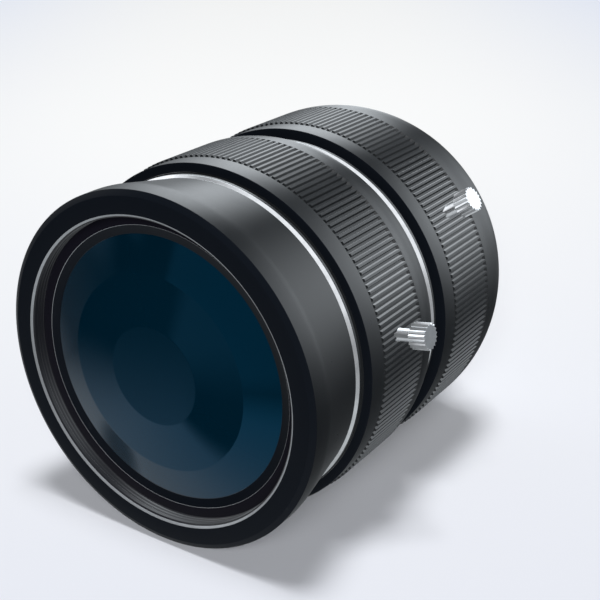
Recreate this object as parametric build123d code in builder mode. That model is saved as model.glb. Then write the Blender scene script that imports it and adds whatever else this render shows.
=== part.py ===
from build123d import *
from math import acos, atan2, copysign, cos, degrees, hypot, radians, sin, sqrt
import os

os.makedirs("parts", exist_ok=True)

# Prime lens with a focus ring and an iris ring, lying on its side.
# The optical axis runs along Y, the front glass faces -Y and Z is up. The origin is the
# centre of the flange face that seats on the camera. Sizes are millimetres. A depth is a
# distance behind the front rim, and an angle is measured from +X towards +Z.

# Fits between pieces
running_clearance = 0.1
thread_clearance = 0.05
press_clearance = 0.02
face_clearance = 0.05
cut_margin = 1.0

# Lengths along the axis
barrel_length = 12.15
focus_ring_length = 18.75
iris_ring_length = 20.2
ring_gap = 0.2
mount_plate_thickness = 1.45
flange_boss_height = 1.3

# Radii of the walls, each counted inwards from the front rim
rim_radius = 23.4
ring_step = 0.1
ring_radius = rim_radius + ring_step
valley_drop = 1.7
valley_radius = ring_radius - valley_drop
helicoid_wall = 1.2
helicoid_bore_radius = ring_radius - helicoid_wall
thrust_step = 0.3
thrust_bore_radius = helicoid_bore_radius - thrust_step
ring_wall = 2.6
main_barrel_radius = ring_radius - ring_wall
main_barrel_wall = 1.0
main_barrel_bore = main_barrel_radius - main_barrel_wall
lens_barrel_radius = main_barrel_bore - running_clearance
lens_barrel_wall = 1.5
lens_barrel_bore = lens_barrel_radius - lens_barrel_wall
cell_radius = lens_barrel_bore - face_clearance

# Outer shape of the barrel and the two rings
rim_chamfer_width = 0.75
rim_chamfer_depth = 0.35
rim_band_length = 3.0
rib_height = 0.3
focus_collar_length = 2.85
focus_rib_length = 9.3
iris_collar_length = 2.7
iris_rib_length = 9.6
lip_height = 0.35
lip_length = 0.45

# Filter thread and front retaining ring
rim_wall = 3.4
filter_thread_radius = rim_radius - rim_wall
filter_chamfer = 0.45
front_ring_height = 1.15

# Front element
front_ring_width = 2.0
front_rim_radius = filter_thread_radius - front_ring_width
front_ring_bevel_width = 0.6
front_ring_face_inner = front_rim_radius + front_ring_bevel_width
front_ring_lip_width = 0.55
front_ring_lip_radius = front_rim_radius - front_ring_lip_width
front_ring_lip_rise = 0.2
front_ring_lip_thickness = 0.08
dome_overhang = 1.0
dome_half_width = front_rim_radius + dome_overhang
dome_height = 3.6
dome_recess = 0.15
front_element_thickness = 6.25
front_element_rear_bend = 6.1
front_element_rear_curve = front_element_rear_bend * front_rim_radius
front_seat_width = 1.25
front_seat_thickness = 1.35
front_element_land = 1.5
front_element_rear_clear = front_rim_radius - front_element_land

# Glass of the front group: the air in front of each piece, its edge, and how many times
# its edge radius each face's curve radius is
second_air = 3.6
second_thickness = 4.2
second_front_bend = 1.87
second_rear_bend = 4.0
front_cell_wall = 3.25
second_rim_radius = cell_radius - front_cell_wall
third_air = 0.8
third_thickness = 4.6
third_front_bend = 1.76
third_rear_bend = 16.0
third_step = 2.5
third_rim_radius = second_rim_radius - third_step
fourth_thickness = 1.4
fourth_rear_bend = 1.16
fourth_edge = 2.7
fourth_rear_clear = third_rim_radius - fourth_edge

# Glass of the rear group, in the same way
fifth_air = 4.4
fifth_thickness = 1.4
fifth_front_bend = -1.38
fifth_rear_bend = -15.4
fifth_edge = 1.15
sixth_thickness = 4.6
sixth_rear_bend = -1.95
seventh_air = 1.0
seventh_thickness = 4.2
seventh_front_bend = 4.92
seventh_rear_bend = -6.15
rear_cell_inset = 6.25
rear_cell_radius = cell_radius - rear_cell_inset
rear_cell_wall = 2.25
rear_rim_radius = rear_cell_radius - rear_cell_wall
fifth_front_clear = rear_rim_radius - fifth_edge

# Curve radii of the glass
second_front_curve = second_front_bend * second_rim_radius
second_rear_curve = second_rear_bend * second_rim_radius
third_front_curve = third_front_bend * third_rim_radius
third_rear_curve = third_rear_bend * third_rim_radius
fourth_rear_curve = fourth_rear_bend * third_rim_radius
fifth_front_curve = fifth_front_bend * rear_rim_radius
fifth_rear_curve = fifth_rear_bend * rear_rim_radius
sixth_rear_curve = sixth_rear_bend * rear_rim_radius
seventh_front_curve = seventh_front_bend * rear_rim_radius
seventh_rear_curve = seventh_rear_bend * rear_rim_radius

# Cells, spacers and retaining rings
cell_lip_width = 1.1
front_cell_rear_wall = 0.75
front_retainer_height = 1.4
spacer_land = 0.7
rear_cell_shoulder_width = 1.5
rear_cell_shoulder_length = 1.4
rear_cell_tail = 1.85
rear_cell_front_wall = 0.7
rear_retainer_height = 1.6

# Iris diaphragm
blade_count = 6
blade_thickness = 0.12
blade_pitch = 0.2
blade_pivot_inset = 5.25
blade_pivot_radius = cell_radius - blade_pivot_inset
blade_pivot_reach = 1.2
blade_outer_radius = blade_pivot_radius - blade_pivot_reach
blade_width = 5.0
blade_inner_radius = blade_outer_radius - blade_width
blade_span = 110.0
blade_drive_arm = 3.6
blade_drive_angle = 76.0
blade_swing = 27.0
stud_radius = 0.4
stud_clearance = 0.06
ear_radius = 0.85
seat_plate_thickness = 0.85
seat_rim_width = 0.5
seat_opening_step = 1.8
seat_opening_radius = blade_inner_radius + seat_opening_step
rotor_thickness = 1.0
rotor_opening_step = 2.2
rotor_inner_radius = blade_inner_radius + rotor_opening_step
rotor_rim_gap = 0.8
rotor_outer_radius = lens_barrel_bore - rotor_rim_gap
rotor_play = 0.7
bulkhead_thickness = 2.4
finger_thickness = 1.2
finger_width = 5.0
finger_slot_end_wall = 1.2

# Fixed main barrel
divider_height = 1.0
divider_thickness = 1.0
rear_web_thickness = 1.8
rear_web_width = 3.4

# Focus drive
nut_recess = 1.15
helicoid_nut_length = 3.25
helicoid_retainer_height = 0.9
helicoid_retainer_gap = 0.4
nut_end_gap = 0.25
thrust_ring_height = 0.9
focus_turn = 180.0
focus_travel = 4.5
guide_pin_radius = 1.0
guide_pin_setback = 10.5
guide_pin_angle = 270.0
stop_pin_radius = 0.6
stop_pin_setback = 11.15
stop_pin_angle = 300.0
stop_groove_height = 0.75

# Iris drive
iris_turn = 60.0
iris_pin_radius = 0.8
iris_pin_setback = 8.7
iris_pin_angle = 200.0
iris_pin_socket_depth = 1.5

# Lock screws
lock_screw_radius = 0.8
lock_pad_height = 0.5
lock_pad_travel_gap = 0.15
lock_neck_length = 1.9
lock_head_radius = 1.7
lock_head_length = 2.35
lock_flute_count = 18
lock_flute_radius = 0.17
focus_lock_setback = 6.6
focus_lock_angle = 10.5
iris_lock_setback = 7.4
iris_lock_angle = 35.0

# Camera mount
mount_plate_inset = 0.3
mount_plate_radius = main_barrel_radius - mount_plate_inset
flange_boss_width = 2.8
mount_thread_radius = 12.7
flange_boss_radius = mount_thread_radius + flange_boss_width
mount_thread_length = 4.0
mount_thread_wall = 1.7
mount_bore_radius = mount_thread_radius - mount_thread_wall
mount_thread_chamfer = 0.4
mount_screw_count = 3
mount_screw_inset = 2.2
mount_screw_circle = mount_plate_radius - mount_screw_inset
mount_screw_radius = 0.8
mount_screw_head_radius = 1.45
mount_screw_length = 2.9
mount_screw_socket_radius = 0.5
mount_screw_socket_depth = 0.5

# Depths that follow from the sizes above
focus_front = barrel_length + ring_gap
focus_rear = focus_front + focus_ring_length
iris_front = focus_rear + ring_gap
iris_rear = iris_front + iris_ring_length
mount_front = iris_rear + ring_gap
flange_depth = mount_front + mount_plate_thickness + flange_boss_height
divider_radius = main_barrel_radius + divider_height
divider_front = focus_rear + ring_gap / 2
divider_rear = divider_front + divider_thickness
helicoid_nut_front = focus_front + nut_recess
nut_rear = helicoid_nut_front + helicoid_nut_length
main_barrel_front = nut_rear + nut_end_gap
guide_pin_depth = main_barrel_front + guide_pin_setback
stop_pin_depth = focus_front + stop_pin_setback
focus_lock_depth = focus_front + focus_lock_setback
iris_pin_depth = iris_front + iris_pin_setback
iris_lock_depth = iris_front + iris_lock_setback
rib_radius = ring_radius + rib_height
lip_radius = valley_radius + lip_height
iris_ratio = blade_swing / iris_turn


def at(depth):
    """Y of a station that lies this far behind the front rim."""
    return depth - flange_depth


def spot(radius, depth):
    """Point of a turned profile, drawn on the plane of X and Y."""
    return (radius, at(depth))


def front_plane(depth, angle=0):
    """Sketch plane across the axis that faces the front, with its first direction at this angle."""
    turn = radians(angle)
    return Plane(origin=(0, at(depth), 0), x_dir=(cos(turn), 0, sin(turn)), z_dir=(0, -1, 0))


def rear_plane(depth):
    """Sketch plane across the axis that faces the camera."""
    return Plane(origin=(0, at(depth), 0), x_dir=(1, 0, 0), z_dir=(0, 1, 0))


def half_plane(angle):
    """Plane through the axis whose first direction points outwards at this angle."""
    turn = radians(angle)
    return Plane(origin=(0, 0, 0), x_dir=(cos(turn), 0, sin(turn)), z_dir=(-sin(turn), 0, cos(turn)))


def radial_plane(angle, depth, radius):
    """Plane that faces outwards from the axis at this angle, depth and radius."""
    turn = radians(angle)
    place = (radius * cos(turn), at(depth), radius * sin(turn))
    return Plane(origin=place, x_dir=(0, 1, 0), z_dir=(cos(turn), 0, sin(turn)))


def outline(*corners):
    """Closed straight-sided face of a turned piece, from radius and depth pairs."""
    with BuildSketch(Plane.XY) as face:
        with BuildLine():
            Polyline(*[spot(radius, depth) for radius, depth in corners], close=True)
        make_face()
    return face.sketch


def radial_pin(angle, depth, radius, inner, outer):
    """Round pin that points at the axis, between two distances from it."""
    with BuildPart() as pin:
        with BuildSketch(radial_plane(angle, depth, inner)):
            Circle(radius)
        extrude(amount=outer - inner)
    return pin


def sag(curve, radius):
    """Depth that a spherical face gains between the axis and this radius."""
    return curve - copysign(sqrt(curve * curve - radius * radius), curve)


def glass(vertex, thickness, front_curve, rear_curve, rim, front_clear, rear_clear):
    """Round lens with two spherical faces and, past each clear radius, a flat edge."""
    rear_vertex = vertex + thickness
    front_edge = vertex + sag(front_curve, front_clear)
    rear_edge = rear_vertex + sag(rear_curve, rear_clear)
    with BuildPart() as element:
        with BuildSketch(Plane.XY):
            with BuildLine():
                ThreePointArc(
                    spot(0, vertex),
                    spot(front_clear / 2, vertex + sag(front_curve, front_clear / 2)),
                    spot(front_clear, front_edge),
                )
                if rim > front_clear:
                    Line(spot(front_clear, front_edge), spot(rim, front_edge))
                Line(spot(rim, front_edge), spot(rim, rear_edge))
                if rim > rear_clear:
                    Line(spot(rim, rear_edge), spot(rear_clear, rear_edge))
                ThreePointArc(
                    spot(rear_clear, rear_edge),
                    spot(rear_clear / 2, rear_vertex + sag(rear_curve, rear_clear / 2)),
                    spot(0, rear_vertex),
                )
                Line(spot(0, rear_vertex), spot(0, vertex))
            make_face()
        revolve(axis=Axis.Y)
    return element


# The turning direction of the rings, seen from the front, runs from +X towards +Z.
turn_axis = Axis((0, 0, 0), (0, -1, 0))


def dome(radius):
    """Depth of the front glass at this radius."""
    return dome_recess + dome_height * (1 - sqrt(1 - (radius / dome_half_width) ** 2))


front_rear_vertex = dome_recess + front_element_thickness
front_seat = front_rear_vertex + sag(front_element_rear_curve, front_element_rear_clear) + face_clearance
lip_under = dome(front_ring_lip_radius) - face_clearance
lip_front = lip_under - front_ring_lip_thickness
filter_thread_depth = lip_front - front_ring_lip_rise
front_ring_rear = filter_thread_depth + front_ring_height
front_seat_end = front_seat + front_seat_thickness
front_bore = front_rim_radius + face_clearance
lip_start = barrel_length - lip_length - lip_height
lens_barrel_front = front_seat_end + face_clearance

# Depths of the front group of glass
second_vertex = front_rear_vertex + second_air
third_vertex = second_vertex + second_thickness + third_air
third_rear_vertex = third_vertex + third_thickness
fourth_rear_vertex = third_rear_vertex + fourth_thickness
second_rim_front = second_vertex + sag(second_front_curve, second_rim_radius)
second_rim_rear = second_vertex + second_thickness + sag(second_rear_curve, second_rim_radius)
third_rim_front = third_vertex + sag(third_front_curve, third_rim_radius)
fourth_rim_rear = fourth_rear_vertex + sag(fourth_rear_curve, fourth_rear_clear)
spacer_step = second_rim_rear + face_clearance + spacer_land
third_land_radius = third_rim_radius - spacer_land
third_land_depth = third_vertex + sag(third_front_curve, third_land_radius) - face_clearance
front_retainer_inner = second_rim_radius - cell_lip_width
front_retainer_rear = second_vertex + sag(second_front_curve, front_retainer_inner) - face_clearance
front_cell_seat = fourth_rim_rear + face_clearance
front_cell_end = front_cell_seat + front_cell_rear_wall

# Depths of the diaphragm and of the bulkhead behind it
seat_front = front_cell_end + face_clearance
seat_plate_rear = seat_front + seat_plate_thickness
blade_stack_front = seat_plate_rear + blade_pitch / 2
blade_stack_rear = blade_stack_front + blade_count * blade_pitch
rotor_front = blade_stack_rear + blade_pitch / 2
rotor_rear = rotor_front + rotor_thickness
finger_travel = focus_travel + 2 * iris_pin_radius + 2 * running_clearance
finger_slot_front = iris_pin_depth - iris_pin_radius - running_clearance
finger_slot_rear = finger_slot_front + finger_travel
finger_end = finger_slot_rear + finger_slot_end_wall
bulkhead_depth = rotor_rear + rotor_play
bulkhead_end = bulkhead_depth + bulkhead_thickness
finger_outer_radius = rotor_outer_radius - running_clearance
finger_inner_radius = finger_outer_radius - finger_thickness
finger_half_angle = degrees(finger_width / 2 / finger_inner_radius)

# Depths of the rear group of glass
fifth_vertex = bulkhead_depth + fifth_air
fifth_rear_vertex = fifth_vertex + fifth_thickness
sixth_rear_vertex = fifth_rear_vertex + sixth_thickness
seventh_vertex = sixth_rear_vertex + seventh_air
fifth_rim_front = fifth_vertex + sag(fifth_front_curve, fifth_front_clear)
rear_land_radius = rear_rim_radius - spacer_land
sixth_land_depth = sixth_rear_vertex + sag(sixth_rear_curve, rear_land_radius) + face_clearance
seventh_land_depth = seventh_vertex + sag(seventh_front_curve, rear_land_radius) - face_clearance
seventh_rear_vertex = seventh_vertex + seventh_thickness
rear_retainer_front = seventh_rear_vertex + sag(seventh_rear_curve, rear_land_radius) + face_clearance
rear_retainer_rear = rear_retainer_front + rear_retainer_height
rear_cell_seat = fifth_rim_front - face_clearance
rear_cell_front = rear_cell_seat - rear_cell_front_wall
rear_bore = rear_rim_radius + face_clearance
shoulder_front = bulkhead_end + face_clearance
shoulder_rear = shoulder_front + rear_cell_shoulder_length


# Front barrel

with BuildPart() as front_barrel:
    profile = outline(
        (filter_thread_radius + filter_chamfer, 0),
        (rim_radius - rim_chamfer_width, 0),
        (rim_radius, rim_chamfer_depth),
        (rim_radius, rim_band_length),
        (valley_radius, lip_start),
        (lip_radius, lip_start + lip_height),
        (lip_radius, barrel_length),
        (lens_barrel_radius + thread_clearance, barrel_length),
        (lens_barrel_radius + thread_clearance, front_seat_end),
        (front_bore - front_seat_width, front_seat_end),
        (front_bore - front_seat_width, front_seat),
        (front_bore, front_seat),
        (front_bore, front_ring_rear + face_clearance),
        (filter_thread_radius, front_ring_rear + face_clearance),
        (filter_thread_radius, filter_chamfer),
    )
    revolve(profile, axis=Axis.Y)

front_ring_radius = filter_thread_radius - thread_clearance
with BuildPart() as front_retaining_ring:
    profile = outline(
        (front_ring_face_inner, filter_thread_depth),
        (front_ring_radius, filter_thread_depth),
        (front_ring_radius, front_ring_rear),
        (front_rim_radius + face_clearance, front_ring_rear),
        (front_rim_radius + face_clearance, dome(front_rim_radius) - face_clearance),
        (front_ring_lip_radius, lip_under),
        (front_ring_lip_radius, lip_front),
    )
    revolve(profile, axis=Axis.Y)

with BuildPart() as front_element:
    with BuildSketch(Plane.XY):
        with BuildLine():
            EllipticalCenterArc(
                spot(0, dome_recess + dome_height),
                dome_half_width,
                dome_height,
                start_angle=270,
                arc_size=90 - degrees(acos(front_rim_radius / dome_half_width)),
            )
            rear_edge = front_seat - face_clearance
            Polyline(
                spot(front_rim_radius, dome(front_rim_radius)),
                spot(front_rim_radius, rear_edge),
                spot(front_element_rear_clear, rear_edge),
            )
            ThreePointArc(
                spot(front_element_rear_clear, rear_edge),
                spot(
                    front_element_rear_clear / 2,
                    front_rear_vertex + sag(front_element_rear_curve, front_element_rear_clear / 2),
                ),
                spot(0, front_rear_vertex),
            )
            Line(spot(0, front_rear_vertex), spot(0, dome_recess))
        make_face()
    revolve(axis=Axis.Y)


# Lens barrel, which the helicoid slides along the axis

with BuildPart() as lens_barrel:
    profile = outline(
        (lens_barrel_bore, lens_barrel_front),
        (lens_barrel_radius, lens_barrel_front),
        (lens_barrel_radius, bulkhead_end),
        (rear_cell_radius + thread_clearance, bulkhead_end),
        (rear_cell_radius + thread_clearance, bulkhead_depth),
        (lens_barrel_bore, bulkhead_depth),
    )
    revolve(profile, axis=Axis.Y)
    # Window in the bulkhead that the finger of the iris rotor swings in
    window_margin = 2.0
    with BuildSketch(half_plane(iris_pin_angle - finger_half_angle - window_margin)):
        with BuildLine():
            Polyline(
                spot(finger_inner_radius - running_clearance, bulkhead_depth - face_clearance),
                spot(finger_outer_radius + running_clearance, bulkhead_depth - face_clearance),
                spot(finger_outer_radius + running_clearance, bulkhead_end + face_clearance),
                spot(finger_inner_radius - running_clearance, bulkhead_end + face_clearance),
                close=True,
            )
        make_face()
    revolve(
        axis=turn_axis,
        revolution_arc=iris_turn + 2 * (finger_half_angle + window_margin),
        mode=Mode.SUBTRACT,
    )
    # Hole for the guide pin
    with Locations(radial_plane(guide_pin_angle, guide_pin_depth, lens_barrel_radius)):
        Hole(guide_pin_radius + press_clearance, depth=lens_barrel_wall)

guide_pin = radial_pin(
    guide_pin_angle,
    guide_pin_depth,
    guide_pin_radius,
    lens_barrel_bore + press_clearance,
    main_barrel_radius - face_clearance,
)


# Front group of glass in its cell

second_element = glass(
    second_vertex,
    second_thickness,
    second_front_curve,
    second_rear_curve,
    second_rim_radius,
    second_rim_radius,
    second_rim_radius,
)
third_element = glass(
    third_vertex,
    third_thickness,
    third_front_curve,
    third_rear_curve,
    third_rim_radius,
    third_rim_radius,
    third_rim_radius,
)
fourth_element = glass(
    third_rear_vertex,
    fourth_thickness,
    third_rear_curve,
    fourth_rear_curve,
    third_rim_radius,
    third_rim_radius,
    fourth_rear_clear,
)

with BuildPart() as front_cell:
    profile = outline(
        (second_rim_radius + face_clearance, lens_barrel_front),
        (cell_radius, lens_barrel_front),
        (cell_radius, front_cell_end),
        (fourth_rear_clear, front_cell_end),
        (fourth_rear_clear, front_cell_seat),
        (third_rim_radius + face_clearance, front_cell_seat),
        (third_rim_radius + face_clearance, spacer_step + face_clearance),
        (second_rim_radius + face_clearance, spacer_step + face_clearance),
    )
    revolve(profile, axis=Axis.Y)

with BuildPart() as front_group_spacer:
    profile = outline(
        (third_land_radius, second_rim_rear + face_clearance),
        (second_rim_radius, second_rim_rear + face_clearance),
        (second_rim_radius, spacer_step),
        (third_rim_radius, spacer_step),
        (third_rim_radius, third_land_depth),
        (third_land_radius, third_land_depth),
    )
    revolve(profile, axis=Axis.Y)

with BuildPart() as front_group_retaining_ring:
    profile = outline(
        (front_retainer_inner, front_retainer_rear - front_retainer_height),
        (second_rim_radius, front_retainer_rear - front_retainer_height),
        (second_rim_radius, front_retainer_rear),
        (front_retainer_inner, front_retainer_rear),
    )
    revolve(profile, axis=Axis.Y)


# Iris diaphragm: seat, six blades and the rotor with their cam slots

def drive_stud(swing):
    """Place of a blade's drive stud when the blade has swung in by this many degrees."""
    arm = radians(blade_drive_angle + swing)
    across = blade_pivot_radius + blade_drive_arm * cos(arm)
    up = blade_drive_arm * sin(arm)
    return (across, up)


def cam_point(turned):
    """Place of the same stud as the rotor sees it after turning by this many degrees."""
    across, up = drive_stud(turned * iris_ratio)
    angle = atan2(up, across) - radians(turned)
    reach = hypot(across, up)
    return (reach * cos(angle), reach * sin(angle))


with BuildPart() as diaphragm_seat:
    profile = outline(
        (seat_opening_radius, seat_front),
        (cell_radius, seat_front),
        (cell_radius, bulkhead_depth - face_clearance),
        (cell_radius - seat_rim_width, bulkhead_depth - face_clearance),
        (cell_radius - seat_rim_width, seat_plate_rear),
        (seat_opening_radius, seat_plate_rear),
    )
    revolve(profile, axis=Axis.Y)
    with Locations(front_plane(seat_front)):
        with PolarLocations(blade_pivot_radius, blade_count):
            Hole(stud_radius + stud_clearance, depth=seat_plate_thickness)

iris_blades = []
for number in range(blade_count):
    blade_front = blade_stack_front + number * blade_pitch
    blade_rear = blade_front + blade_thickness
    blade_plane = front_plane(blade_rear, number * 360 / blade_count)
    with BuildPart() as blade:
        with BuildSketch(blade_plane):
            with BuildLine():
                inner = CenterArc((0, 0), blade_inner_radius, 0, blade_span)
                outer = CenterArc((0, 0), blade_outer_radius, 0, blade_span)
                Line(inner @ 0, outer @ 0)
                ThreePointArc(
                    inner @ 1,
                    Vector(
                        (blade_inner_radius + blade_outer_radius) / 2 + stud_radius, 0
                    ).rotate(Axis.Z, blade_span + 2 * degrees(stud_radius / blade_inner_radius)),
                    outer @ 1,
                )
            make_face()
        extrude(amount=blade_thickness)
        # Ear that carries the pivot stud and the drive stud, outside the other blades
        with BuildSketch(blade_plane):
            with Locations((blade_pivot_radius, 0), drive_stud(0), (blade_outer_radius - ear_radius, ear_radius)):
                Circle(ear_radius)
            make_hull()
        extrude(amount=blade_thickness)
        with BuildSketch(blade_plane):
            with Locations((blade_pivot_radius, 0)):
                Circle(stud_radius)
        extrude(amount=blade_rear - seat_front - face_clearance)
        with BuildSketch(blade_plane):
            with Locations(drive_stud(0)):
                Circle(stud_radius)
        extrude(amount=blade_rear - rotor_rear)
    iris_blades.append(blade)

with BuildPart() as iris_rotor:
    with BuildSketch(front_plane(rotor_rear)):
        Circle(rotor_outer_radius)
        Circle(rotor_inner_radius, mode=Mode.SUBTRACT)
        for number in range(blade_count):
            with BuildLine(mode=Mode.PRIVATE) as cam:
                ThreePointArc(cam_point(0), cam_point(iris_turn / 2), cam_point(iris_turn))
            with PolarLocations(0, 1, start_angle=number * 360 / blade_count):
                SlotArc(cam.edges()[0], 2 * (stud_radius + stud_clearance), mode=Mode.SUBTRACT)
    extrude(amount=rotor_thickness)
    # Finger that reaches back to the drive pin of the iris ring
    with BuildSketch(half_plane(iris_pin_angle - finger_half_angle)):
        with BuildLine():
            Polyline(
                spot(finger_inner_radius, rotor_rear - rotor_thickness / 2),
                spot(finger_outer_radius, rotor_rear - rotor_thickness / 2),
                spot(finger_outer_radius, finger_end),
                spot(finger_inner_radius, finger_end),
                close=True,
            )
        make_face()
    revolve(axis=turn_axis, revolution_arc=2 * finger_half_angle)
    with BuildSketch(radial_plane(iris_pin_angle, (finger_slot_front + finger_slot_rear) / 2, 0)):
        SlotOverall(finger_travel, 2 * (iris_pin_radius + thread_clearance))
    extrude(amount=lens_barrel_radius, mode=Mode.SUBTRACT)


# Rear group of glass in its cell

fifth_element = glass(
    fifth_vertex,
    fifth_thickness,
    fifth_front_curve,
    fifth_rear_curve,
    rear_rim_radius,
    fifth_front_clear,
    rear_rim_radius,
)
sixth_element = glass(
    fifth_rear_vertex,
    sixth_thickness,
    fifth_rear_curve,
    sixth_rear_curve,
    rear_rim_radius,
    rear_rim_radius,
    rear_rim_radius,
)
seventh_element = glass(
    seventh_vertex,
    seventh_thickness,
    seventh_front_curve,
    seventh_rear_curve,
    rear_rim_radius,
    rear_rim_radius,
    rear_rim_radius,
)

with BuildPart() as rear_cell:
    profile = outline(
        (fifth_front_clear, rear_cell_front),
        (rear_cell_radius, rear_cell_front),
        (rear_cell_radius, shoulder_front),
        (rear_cell_radius + rear_cell_shoulder_width, shoulder_front),
        (rear_cell_radius + rear_cell_shoulder_width, shoulder_rear),
        (rear_cell_radius, shoulder_rear),
        (rear_cell_radius, rear_retainer_rear + rear_cell_tail),
        (rear_bore, rear_retainer_rear + rear_cell_tail),
        (rear_bore, rear_cell_seat),
        (fifth_front_clear, rear_cell_seat),
    )
    revolve(profile, axis=Axis.Y)

with BuildPart() as rear_group_spacer:
    profile = outline(
        (rear_land_radius, sixth_land_depth),
        (rear_rim_radius, sixth_land_depth),
        (rear_rim_radius, seventh_land_depth),
        (rear_land_radius, seventh_land_depth),
    )
    revolve(profile, axis=Axis.Y)

with BuildPart() as rear_retaining_ring:
    profile = outline(
        (rear_land_radius, rear_retainer_front),
        (rear_rim_radius, rear_retainer_front),
        (rear_rim_radius, rear_retainer_rear),
        (rear_land_radius, rear_retainer_rear),
    )
    revolve(profile, axis=Axis.Y)


# Fixed main barrel under both rings

web_front = mount_front - face_clearance - rear_web_thickness
web_rear = mount_front - face_clearance
iris_slot_half_angle = degrees((iris_pin_radius + running_clearance) / main_barrel_bore)

with BuildPart() as main_barrel:
    profile = outline(
        (main_barrel_bore, main_barrel_front),
        (main_barrel_radius, main_barrel_front),
        (main_barrel_radius, divider_front),
        (divider_radius, divider_front),
        (divider_radius, divider_rear),
        (main_barrel_radius, divider_rear),
        (main_barrel_radius, web_rear),
        (main_barrel_bore - rear_web_width, web_rear),
        (main_barrel_bore - rear_web_width, web_front),
        (main_barrel_bore, web_front),
    )
    revolve(profile, axis=Axis.Y)
    # Slot round the barrel for the drive pin of the iris ring
    with BuildSketch(half_plane(iris_pin_angle - iris_slot_half_angle)):
        with BuildLine():
            Polyline(
                spot(main_barrel_bore - cut_margin, iris_pin_depth - iris_pin_radius - running_clearance),
                spot(main_barrel_radius + cut_margin, iris_pin_depth - iris_pin_radius - running_clearance),
                spot(main_barrel_radius + cut_margin, iris_pin_depth + iris_pin_radius + running_clearance),
                spot(main_barrel_bore - cut_margin, iris_pin_depth + iris_pin_radius + running_clearance),
                close=True,
            )
        make_face()
    revolve(
        axis=turn_axis,
        revolution_arc=iris_turn + 2 * iris_slot_half_angle,
        mode=Mode.SUBTRACT,
    )
    # Slot along the barrel for the guide pin
    with BuildSketch(radial_plane(guide_pin_angle, guide_pin_depth - focus_travel / 2, main_barrel_bore - cut_margin)):
        SlotOverall(
            focus_travel + 2 * (guide_pin_radius + running_clearance),
            2 * (guide_pin_radius + thread_clearance),
        )
    extrude(amount=main_barrel_wall + 2 * cut_margin, mode=Mode.SUBTRACT)
    # Hole for the stop pin of the focus ring
    with Locations(radial_plane(stop_pin_angle, stop_pin_depth, main_barrel_radius)):
        Hole(stop_pin_radius + press_clearance, depth=main_barrel_wall)
    # Threaded holes for the mount screws
    with Locations(rear_plane(web_rear)):
        with PolarLocations(mount_screw_circle, mount_screw_count, start_angle=90):
            Hole(mount_screw_radius + thread_clearance, depth=rear_web_thickness)

focus_stop_pin = radial_pin(
    stop_pin_angle,
    stop_pin_depth,
    stop_pin_radius,
    main_barrel_bore + press_clearance,
    main_barrel_radius + stop_groove_height - running_clearance,
)


# Focus ring, its helicoid nut and the rings that hold them

ring_bore = main_barrel_radius + running_clearance
focus_rib_start = focus_front + focus_collar_length
focus_rib_end = focus_rib_start + focus_rib_length
focus_lip_start = focus_rear - lip_length - lip_height
thrust_seat = main_barrel_front + thrust_ring_height + running_clearance
stop_half_angle = degrees((stop_pin_radius + running_clearance) / main_barrel_radius)

with BuildPart() as focus_ring:
    with BuildSketch(Plane.XY):
        with BuildLine():
            Polyline(
                spot(ring_bore, focus_rear),
                spot(ring_bore, thrust_seat),
                spot(thrust_bore_radius, thrust_seat),
                spot(thrust_bore_radius, nut_rear + face_clearance),
                spot(helicoid_bore_radius, nut_rear + face_clearance),
                spot(helicoid_bore_radius, focus_front),
                spot(ring_radius, focus_front),
                spot(ring_radius, focus_rib_start),
                spot(rib_radius, focus_rib_start),
                spot(rib_radius, focus_rib_end),
            )
            TangentArc(
                spot(rib_radius, focus_rib_end),
                spot(valley_radius, focus_lip_start),
                tangent=(0, 1),
            )
            Polyline(
                spot(valley_radius, focus_lip_start),
                spot(lip_radius, focus_lip_start + lip_height),
                spot(lip_radius, focus_rear),
                spot(ring_bore, focus_rear),
            )
        make_face()
    revolve(axis=Axis.Y)
    # Groove that meets the stop pin at both ends of the turn
    with BuildSketch(half_plane(stop_pin_angle - focus_turn - stop_half_angle)):
        with BuildLine():
            Polyline(
                spot(ring_bore - cut_margin, stop_pin_depth - stop_pin_radius - running_clearance),
                spot(main_barrel_radius + stop_groove_height, stop_pin_depth - stop_pin_radius - running_clearance),
                spot(main_barrel_radius + stop_groove_height, stop_pin_depth + stop_pin_radius + running_clearance),
                spot(ring_bore - cut_margin, stop_pin_depth + stop_pin_radius + running_clearance),
                close=True,
            )
        make_face()
    revolve(
        axis=turn_axis,
        revolution_arc=focus_turn + 2 * stop_half_angle,
        mode=Mode.SUBTRACT,
    )
    # Threaded hole for the lock screw
    with Locations(radial_plane(focus_lock_angle, focus_lock_depth, rib_radius)):
        Hole(lock_screw_radius + thread_clearance, depth=rib_radius - ring_bore + cut_margin)

with BuildPart() as helicoid_nut:
    profile = outline(
        (lens_barrel_radius + thread_clearance, helicoid_nut_front),
        (helicoid_bore_radius - thread_clearance, helicoid_nut_front),
        (helicoid_bore_radius - thread_clearance, nut_rear),
        (lens_barrel_radius + thread_clearance, nut_rear),
    )
    revolve(profile, axis=Axis.Y)

with BuildPart() as helicoid_retaining_ring:
    retainer_rear = helicoid_nut_front - face_clearance
    profile = outline(
        (lens_barrel_radius + helicoid_retainer_gap, retainer_rear - helicoid_retainer_height),
        (helicoid_bore_radius - thread_clearance, retainer_rear - helicoid_retainer_height),
        (helicoid_bore_radius - thread_clearance, retainer_rear),
        (lens_barrel_radius + helicoid_retainer_gap, retainer_rear),
    )
    revolve(profile, axis=Axis.Y)

with BuildPart() as focus_thrust_ring:
    profile = outline(
        (main_barrel_radius + thread_clearance, main_barrel_front),
        (thrust_bore_radius - running_clearance, main_barrel_front),
        (thrust_bore_radius - running_clearance, main_barrel_front + thrust_ring_height),
        (main_barrel_radius + thread_clearance, main_barrel_front + thrust_ring_height),
    )
    revolve(profile, axis=Axis.Y)


# Iris ring and its drive pin

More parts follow.
